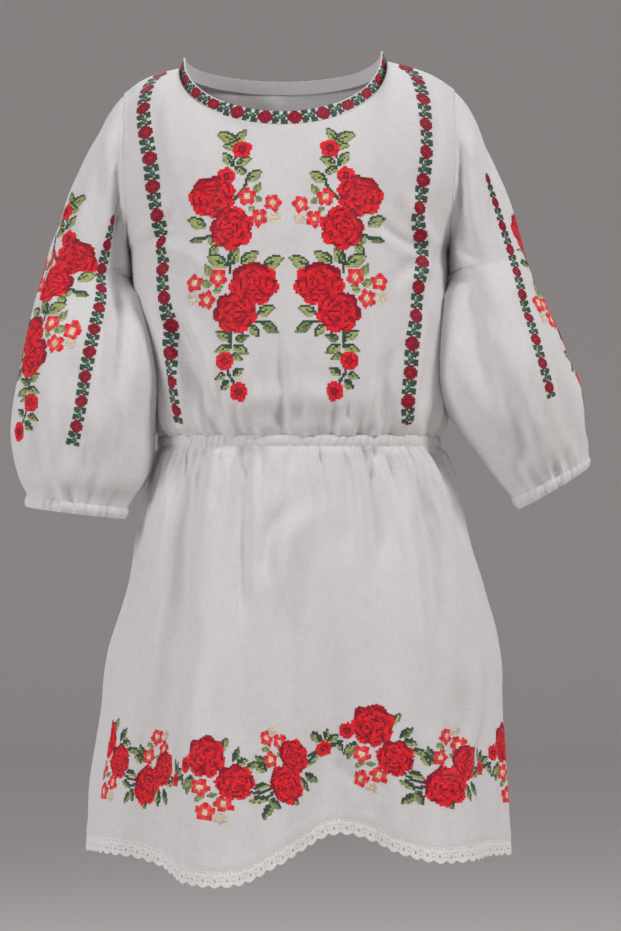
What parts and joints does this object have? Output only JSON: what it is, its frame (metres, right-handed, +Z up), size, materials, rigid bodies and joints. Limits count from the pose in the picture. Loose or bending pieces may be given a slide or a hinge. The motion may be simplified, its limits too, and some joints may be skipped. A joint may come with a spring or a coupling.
{
  "type": "embroidered folk dress",
  "caption": "Child's white folk dress: bloused bodice, full elasticated sleeves, gathered skirt with lace hem, rose sprays and flower borders in cross stitch.",
  "frame": {"origin": "between the shoulders, level with the base of the neck, where the wearer holds the dress up", "axes": "+X to the wearer's left, -Y to the front, +Z up"},
  "size_m": [0.4148, 0.263, 0.5919],
  "materials": {
    "cloth": "plain woven white cotton and linen, with embroidery in red, green and coral thread",
    "embroidered_band": "cross stitch in deep crimson and dark green on white cloth",
    "lace": "matt white crochet cotton"
  },
  "bodies": {
    "root": {"bodice_front": "cloth", "bodice_back": "cloth", "neck_band": "embroidered_band", "sleeve_right": "cloth", "sleeve_left": "cloth", "cuff_right": "cloth", "cuff_left": "cloth", "waist_casing": "cloth", "skirt_front": "cloth", "skirt_back": "cloth", "hem_lace_front": "lace", "hem_lace_back": "lace"}
  },
  "joints": []
}
